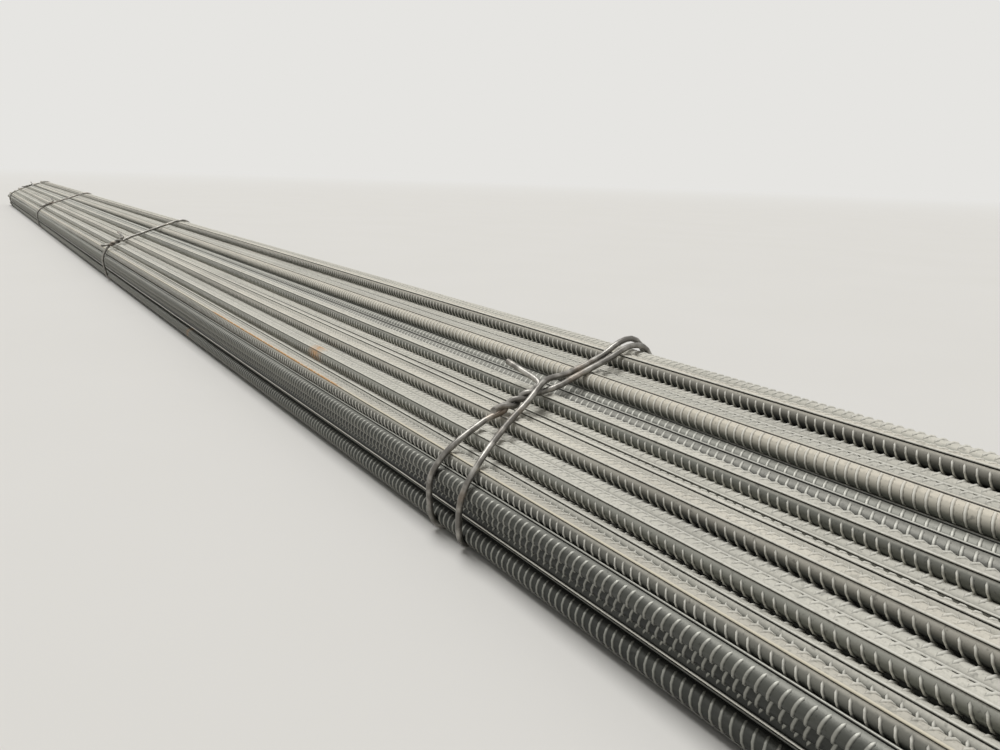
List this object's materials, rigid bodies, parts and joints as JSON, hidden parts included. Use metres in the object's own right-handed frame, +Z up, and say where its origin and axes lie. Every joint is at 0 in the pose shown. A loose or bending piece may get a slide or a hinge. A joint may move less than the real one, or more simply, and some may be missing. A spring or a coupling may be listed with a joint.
{
  "type": "rebar bundle",
  "caption": "Bundle of long ribbed reinforcing bars stacked in a flattened dome and held by twisted wire ties, one of them wound double.",
  "frame": {"origin": "on the floor, under the middle of the bundle's own box", "axes": "+X along the bars, towards the end that is far off in the picture; +Y across them, towards the low, steep side of the dome; +Z up"},
  "size_m": [9.0468, 0.3448, 0.2004],
  "materials": {
    "rolled_bar": "matte",
    "tie_wire": "satin"
  },
  "bodies": {
    "root": {"bar_row_1": "rolled_bar", "bar_row_2": "rolled_bar", "bar_row_3": "rolled_bar", "bar_row_4": "rolled_bar", "bar_row_5": "rolled_bar", "bar_row_6": "rolled_bar", "bar_row_7": "rolled_bar", "bar_row_8": "rolled_bar", "bar_row_9": "rolled_bar", "bar_row_10": "rolled_bar", "wire_tie_1": "tie_wire", "wire_tie_2": "tie_wire", "wire_tie_3": "tie_wire", "wire_tie_4": "tie_wire", "wire_tie_5": "tie_wire"}
  },
  "joints": []
}
